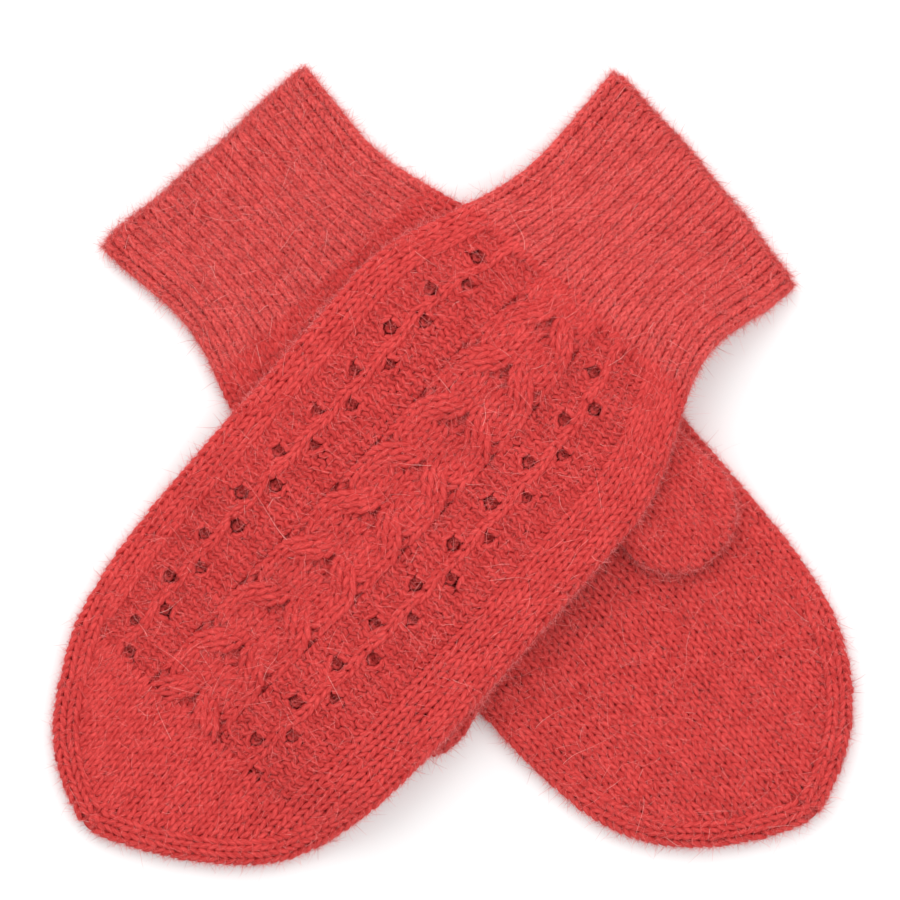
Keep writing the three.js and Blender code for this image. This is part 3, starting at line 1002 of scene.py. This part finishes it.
def gusset(mitten):
    """The ring of picked-up stitches that lines the thumb hole."""
    low, high = [corner[2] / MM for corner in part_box(mitten.name + "_thumb_gusset")]
    root = joints[mitten.name + "_thumb_swing"]["pos_m"]
    yarns = Yarns()
    count = PICKED_UP
    for row in range(2):
        across, along, out, swell = stitches(["knit"] * count, row + 0.9)
        angle = 2 * math.pi * across / count
        radius = THUMB_HOLE - 2.2 + 0.8 * out
        height = low + 0.9 + (high - low - 1.8) * along / 2.8
        places = np.stack([
            root[0] / MM + radius * np.cos(angle), root[1] / MM + radius * np.sin(angle), height,
        ], -1)
        facing = np.stack([np.cos(angle), np.sin(angle), 0 * angle], -1)
        yarns.add(places * MM, facing, YARN * 0.9 * swell)
    piece = yarns.make(f"{mitten.name}_thumb_pick_up", WOOL)
    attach(piece, mitten.name + "_hand")
    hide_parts(f"{mitten.name}_thumb_gusset")


# ---------------------------------------------------------------- loose fibres

def fibres(name, roots, facing, count, lengths, width, rise, bend, segments, material):
    """Fine tapering fibres that stand out of the yarn, each a narrow curved strip."""
    chosen = random.integers(0, len(roots), count)
    start, out = roots[chosen], facing[chosen]
    spin = random.normal(0, 1, (count, 3))
    lying = spin - out * (spin * out).sum(1)[:, None]
    lying /= np.linalg.norm(lying, axis=1)[:, None]
    up = out * np.abs(random.normal(rise, rise * 0.5, count))[:, None]
    heading = lying + up
    heading /= np.linalg.norm(heading, axis=1)[:, None]
    start = start + (out * 0.55 + lying * 0.3) * YARN * MM
    length = np.clip(random.lognormal(math.log(lengths[0]), lengths[1], count), *lengths[2]) * MM
    curl = random.normal(0, bend, (count, 3)) - out * rise * 0.55
    t = np.linspace(0, 1, segments + 1)
    wave = random.normal(0, bend * 0.5, (count, 3))
    path = (
        start[:, None]
        + heading[:, None] * (t[:, None] * length[:, None, None])
        + curl[:, None] * ((t ** 2)[:, None] * length[:, None, None])
        + wave[:, None] * (np.sin(2 * math.pi * t)[:, None] * length[:, None, None] * 0.2)
    )
    path[..., 2] = np.clip(path[..., 2], 0.05 * MM, FIBRE_TOP)
    flat = np.cross(heading, random.normal(0, 1, (count, 3)))
    flat /= np.linalg.norm(flat, axis=1)[:, None]
    taper = (1 - 0.85 * t ** 1.5)[None, :, None] * width * MM / 2
    left, right = path - flat[:, None] * taper, path + flat[:, None] * taper
    points = np.stack([left, right], 2).reshape(-1, 3)
    rings = np.arange(count * (segments + 1) * 2).reshape(count, segments + 1, 2)
    corners = [rings[:, :-1, 0], rings[:, :-1, 1], rings[:, 1:, 1], rings[:, 1:, 0]]
    faces = np.stack(corners, -1).reshape(-1, 4)
    cells = math.ceil(math.sqrt(count))
    number = np.repeat(np.arange(count), segments)
    step = np.tile(np.arange(segments), count)
    low = ((number % cells) + 0.1 + 0.8 * step / segments) / cells
    high = ((number % cells) + 0.1 + 0.8 * (step + 1) / segments) / cells
    near, far = (number // cells + 0.1) / cells, (number // cells + 0.9) / cells
    tone = np.repeat(random.uniform(0, 1, count), segments)
    uv_maps = {
        "OFBake": corner_uvs(low, high, near, far),
        "Yarn": corner_uvs(step / segments, (step + 1) / segments, tone, tone),
    }
    return quad_piece(name, points, faces, uv_maps, material)


def all_fibres(tubes):
    for name, tube in tubes.items():
        roots = np.concatenate([places for places, _ in FUZZ_ROOTS[name]])
        facing = np.concatenate([normals for _, normals in FUZZ_ROOTS[name]])
        upper, lower = facing[:, 2] > -0.35, facing[:, 2] < 0
        edge = np.abs(facing[:, 2]) < 0.75
        is_thumb = name.endswith("thumb")
        # where, how many, length with its spread and limits, width, rise, bend, segments, material
        nap = (upper, NAP, (2.4, 0.5, (0.8, 6)), 0.12, 0.45, 0.35, 2, FUZZ)
        # halo: fibres along the side folds, whose pale pink is partly painted edge light
        halo = (edge, HALO_FIBRES, (1.7, 0.45, (0.7, 5)), 0.08, 1.0, 0.3, 2, HALO_WITH_PAINTED_EDGE_LIGHT)
        under = (lower, NAP // 2, (2.0, 0.4, (0.8, 4)), 0.12, 0.5, 0.35, 2, FUZZ)
        hairs = (upper, STRAYS, (6.5, 0.45, (3.0, 16)), 0.09, 0.35, 0.35, 9, STRAY)
        plans = [("nap_1", nap), ("halo_1", halo), ("under_nap_1", under), ("stray_hairs", hairs)]
        if not is_thumb:
            plans.insert(1, ("nap_2", nap))
        for word, (where, count, *shape) in plans:
            if is_thumb:
                count = THUMB_STRAYS if word == "stray_hairs" else count // 4
            piece = fibres(f"{name}_{word}", roots[where], facing[where], count, *shape)
            if is_thumb:
                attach(piece, name)
            else:
                own(piece, tube, "coral_wool")


# ---------------------------------------------------------------- the pair

LEFT_TUBE = make_mitten(LEFT, None)
RIGHT_TUBE = make_mitten(RIGHT, drape)
LEFT_THUMB = make_thumb(LEFT_TUBE, THUMB_LOW)
RIGHT_THUMB = make_thumb(RIGHT_TUBE, THUMB_LOW)

for mitten, thumb_tube in ((LEFT_TUBE, LEFT_THUMB), (RIGHT_TUBE, RIGHT_THUMB)):
    cuff(mitten)
    hand(mitten)
    thumb(thumb_tube, mitten)
    gusset(mitten)
all_fibres({
    "left": LEFT_TUBE, "right": RIGHT_TUBE,
    "left_thumb": LEFT_THUMB, "right_thumb": RIGHT_THUMB,
})

# ---------------------------------------------------------------- floor, lights and camera

low, high = cad_box
middle = [(low[i] + high[i]) / 2 for i in range(3)]
VIEW_SHIFT = (-0.784 * MM, 4.078 * MM)  # the picture's middle, from the pair's own
VIEW_WIDTH = 261 * MM
VIEW_HEIGHT = 2.4


def stage_floor():
    mesh = bpy.data.meshes.new("floor")
    size = 3.0
    corners = [(-size, -size, 0), (size, -size, 0), (size, size, 0), (-size, size, 0)]
    mesh.from_pydata(corners, [], [(0, 1, 2, 3)])
    floor = bpy.data.objects.new("floor", mesh)
    bpy.context.scene.collection.objects.link(floor)
    paper, _, shader = plain_material("white_paper", 0.9, 0.0)
    shader.inputs["Base Color"].default_value = (0.93, 0.93, 0.93, 1)
    mesh.materials.append(paper)
    floor.location = (0, 0, low[2] - 0.0002)


def light(name, place, size, power):
    data = bpy.data.lights.new(name, "AREA")
    data.size, data.energy = size, power
    lamp = bpy.data.objects.new(name, data)
    bpy.context.scene.collection.objects.link(lamp)
    lamp.location = place
    direction = -np.array(place, float) / np.linalg.norm(place)
    lamp.rotation_euler = (math.acos(-direction[2]), 0, math.atan2(-direction[0], direction[1]))
    return lamp


def camera():
    data = bpy.data.cameras.new("camera")
    eye = bpy.data.objects.new("camera", data)
    bpy.context.scene.collection.objects.link(eye)
    data.sensor_width = 36
    data.lens = data.sensor_width * (VIEW_HEIGHT - high[2] / 2) / VIEW_WIDTH
    eye.location = (middle[0] + VIEW_SHIFT[0], middle[1] + VIEW_SHIFT[1], VIEW_HEIGHT)
    bpy.context.scene.camera = eye


stage_floor()
light("key_light", (-0.35, 0.70, 0.80), 1.1, 6.2)
light("fill_light", (0.7, 0.2, 1.3), 1.2, 5)
world = bpy.data.worlds.new("white_room")
bpy.context.scene.world = world
world.use_nodes = True
world.node_tree.nodes["Background"].inputs["Color"].default_value = (1, 1, 1, 1)
world.node_tree.nodes["Background"].inputs["Strength"].default_value = 0.93
bpy.context.scene.view_settings.view_transform = "Standard"
camera()
